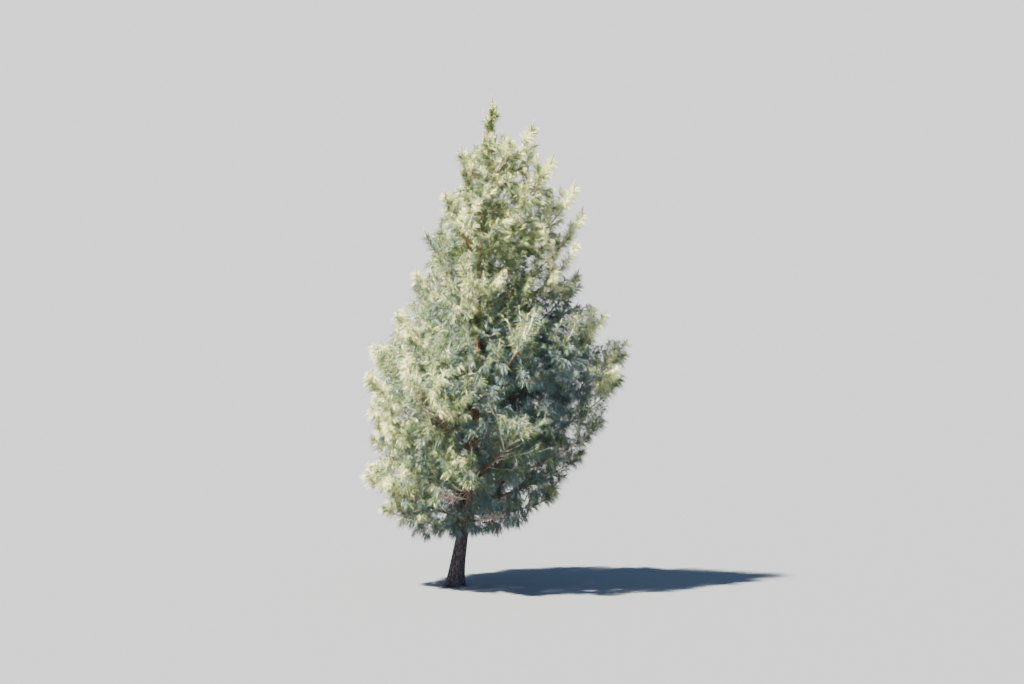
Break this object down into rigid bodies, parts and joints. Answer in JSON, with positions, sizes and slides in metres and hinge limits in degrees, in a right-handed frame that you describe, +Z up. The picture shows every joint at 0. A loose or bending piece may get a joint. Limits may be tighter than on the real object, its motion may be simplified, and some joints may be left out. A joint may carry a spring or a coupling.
{
  "type": "pine tree",
  "caption": "Young open-grown pine with a slightly leaning trunk, rising boughs and long, soft, drooping needles down to near the ground.",
  "frame": {"origin": "centre of the flat cut under the trunk, at ground level", "axes": "+Z up; +X towards the fuller side of the crown, the right-hand side of the picture; -Y towards the side that the picture shows"},
  "size_m": [4.1183, 3.2984, 7.5],
  "materials": {
    "trunk_bark": "rough, furrowed grey-brown bark low down, thinner and orange-brown towards the top",
    "bough_bark": "flaky orange-brown bark",
    "dead_wood": "dry, bare, pinkish grey",
    "needles": "soft sage-green needles, silvery where lit"
  },
  "bodies": {
    "root": {"trunk": "trunk_bark", "bough_right_1": "bough_bark", "foliage_right_1": "needles", "bough_right_2": "bough_bark", "foliage_right_2": "needles", "bough_right_3": "bough_bark", "foliage_right_3": "needles", "bough_right_4": "bough_bark", "foliage_right_4": "needles", "bough_right_5": "bough_bark", "foliage_right_5": "needles", "foliage_right_6": "needles", "foliage_right_7": "needles", "foliage_right_8": "needles", "foliage_right_9": "needles", "foliage_right_10": "needles", "foliage_right_11": "needles", "foliage_right_12": "needles", "bough_left_1": "bough_bark", "foliage_left_1": "needles", "bough_left_2": "bough_bark", "foliage_left_2": "needles", "bough_left_3": "bough_bark", "foliage_left_3": "needles", "bough_left_4": "bough_bark", "foliage_left_4": "needles", "bough_left_5": "bough_bark", "foliage_left_5": "needles", "bough_left_6": "bough_bark", "foliage_left_6": "needles", "foliage_left_7": "needles", "foliage_left_8": "needles", "foliage_left_9": "needles", "foliage_left_10": "needles", "foliage_left_11": "needles", "bough_back_1": "bough_bark", "foliage_back_1": "needles", "bough_back_2": "bough_bark", "foliage_back_2": "needles", "bough_back_3": "bough_bark", "foliage_back_3": "needles", "bough_back_4": "bough_bark", "foliage_back_4": "needles", "foliage_back_5": "needles", "foliage_back_6": "needles", "foliage_back_7": "needles", "bough_front_1": "bough_bark", "foliage_front_1": "needles", "bough_front_2": "bough_bark", "foliage_front_2": "needles", "bough_front_3": "bough_bark", "foliage_front_3": "needles", "foliage_front_4": "needles", "foliage_front_5": "needles", "foliage_front_6": "needles", "foliage_front_7": "needles", "foliage_leader": "needles", "dead_limb_left": "dead_wood", "dead_limb_right": "dead_wood"}
  },
  "joints": []
}
